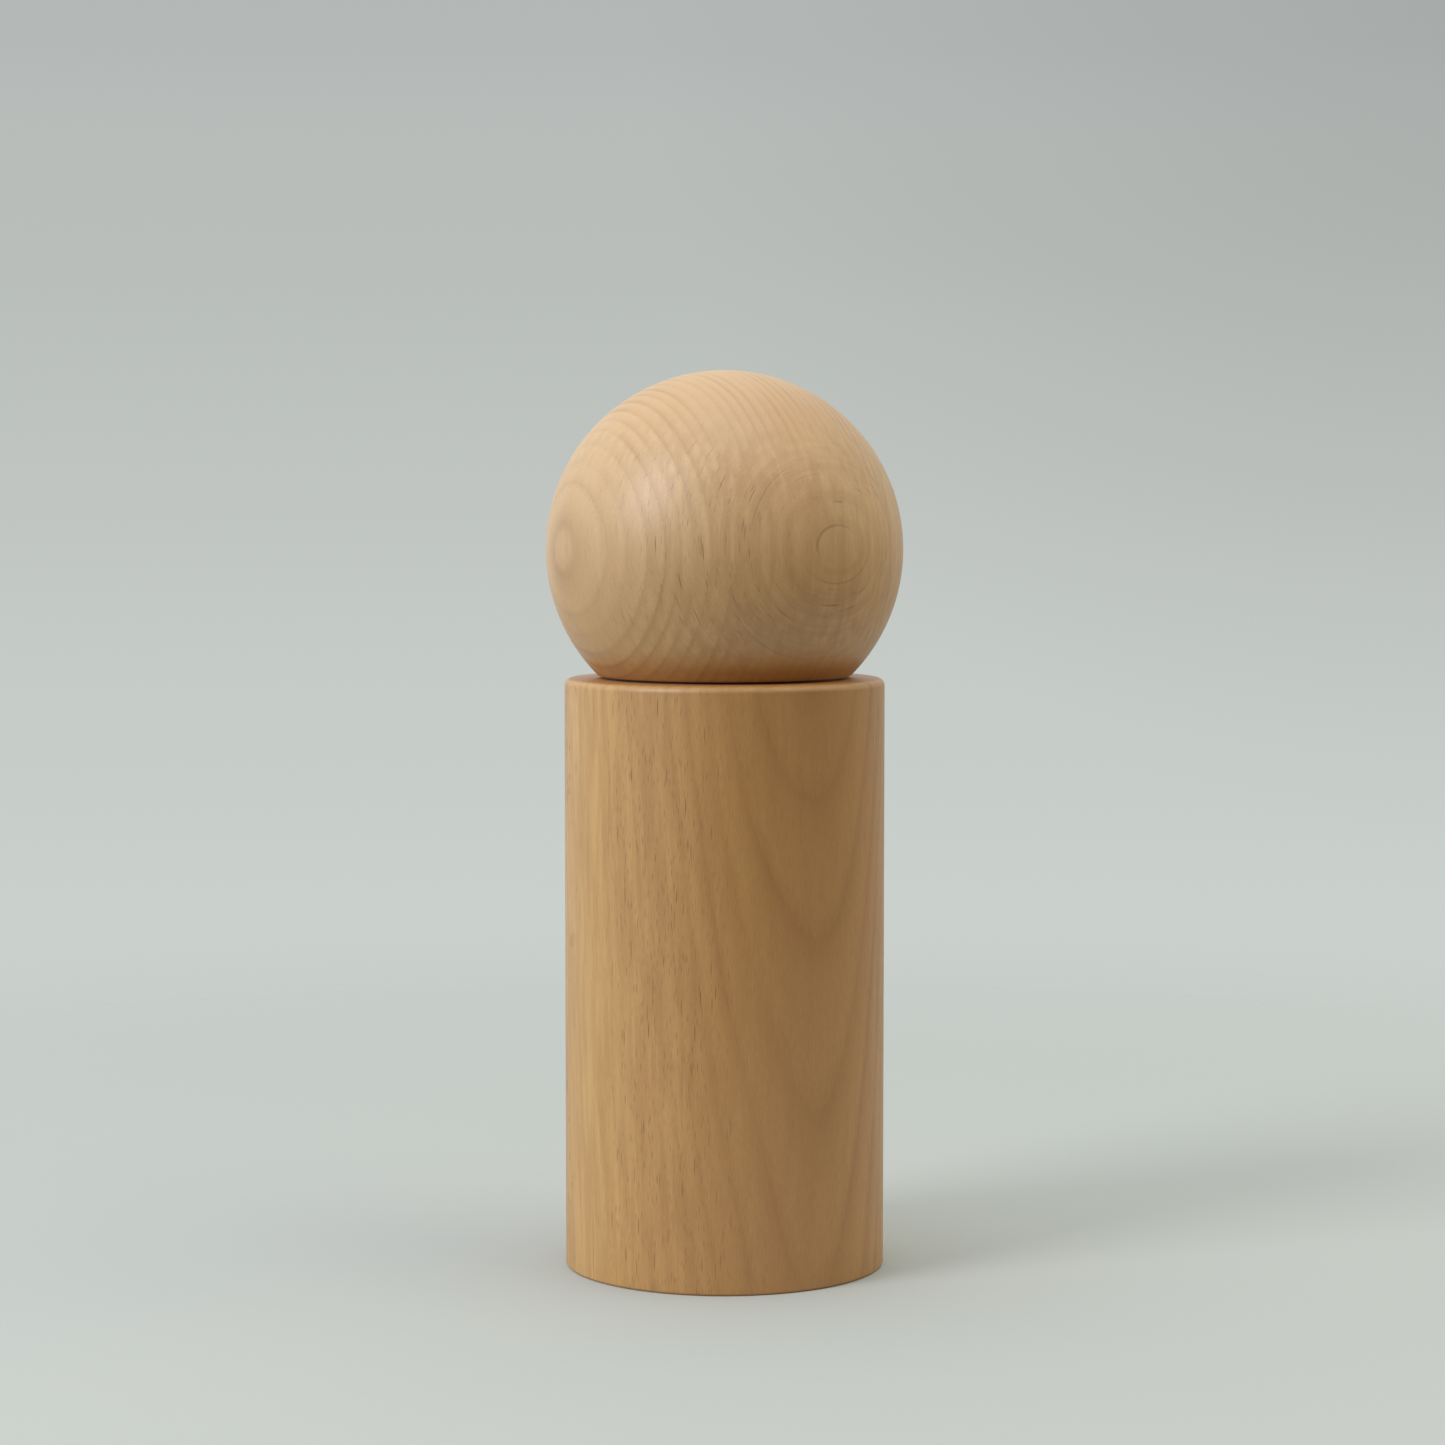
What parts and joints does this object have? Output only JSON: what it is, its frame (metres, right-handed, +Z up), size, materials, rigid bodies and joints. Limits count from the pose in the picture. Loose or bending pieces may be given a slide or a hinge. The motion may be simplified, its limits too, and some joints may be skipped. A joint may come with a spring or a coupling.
{
  "type": "spice mill",
  "caption": "Turned wooden spice mill: a ball head on a straight cylinder body; the head turns a shaft and a ceramic burr that is adjusted from below and lifts off for filling.",
  "frame": {"origin": "centre of the base, on the surface that the mill stands on", "axes": "+Z up along the turning axis; the front, as first seen, faces -Y"},
  "size_m": [0.0646, 0.0646, 0.1625],
  "materials": {
    "beech_body": "turned beech, satin oil",
    "beech_head": "turned beech, satin oil",
    "white_ceramic": "fired unglazed ceramic",
    "black_moulding": "moulded nylon, fine texture",
    "pale_moulding": "moulded acetal",
    "shaft_aluminium": "drawn and turned",
    "spring_steel": "stainless spring steel",
    "screw_steel": "zinc plated",
    "bearing_brass": "turned",
    "grey_silicone": "silicone"
  },
  "bodies": {
    "mill": {"body_shell": "beech_body", "body_collar": "pale_moulding", "burr_housing": "black_moulding", "housing_screws": "screw_steel", "bearing_bridge": "black_moulding", "shaft_bush": "bearing_brass", "burr_stator": "white_ceramic", "stator_snap_ring": "spring_steel"},
    "drive": {"drive_shaft": "shaft_aluminium", "thrust_washer": "spring_steel", "shaft_clip": "spring_steel", "spring_washer": "spring_steel", "burr_spring": "spring_steel", "stop_clip": "spring_steel"},
    "rotor": {"burr_rotor": "white_ceramic", "rotor_hub": "black_moulding", "detent_washer": "spring_steel"},
    "adjuster": {"grind_knob": "black_moulding", "adjuster_nut": "bearing_brass"},
    "head": {"head_ball": "beech_head", "head_spigot": "pale_moulding", "drive_socket": "shaft_aluminium", "catch_ring": "spring_steel", "spigot_o_ring": "grey_silicone", "head_screws": "screw_steel", "glide_washer": "black_moulding"}
  },
  "joints": [
    {"name": "grind_turn", "type": "hinge", "parent": "mill", "child": "drive", "pos_m": [0, 0, 0.03], "axis": [0, 0, 1], "continuous": true},
    {"name": "rotor_lift", "type": "slide", "parent": "drive", "child": "rotor", "axis": [0, 0, 1], "range_m": [0, 0.0012], "deforming": ["burr_spring"]},
    {"name": "adjuster_turn", "type": "hinge", "parent": "rotor", "child": "adjuster", "pos_m": [0, 0, 0.005], "axis": [0, 0, 1], "range_deg": [0, 540]},
    {"name": "head_lift", "type": "slide", "parent": "drive", "child": "head", "axis": [0, 0, 1], "range_m": [0, 0.045]}
  ],
  "couplings": [
    {"joint": "adjuster_turn", "follows": "rotor_lift", "rad_per_m": 7853}
  ]
}
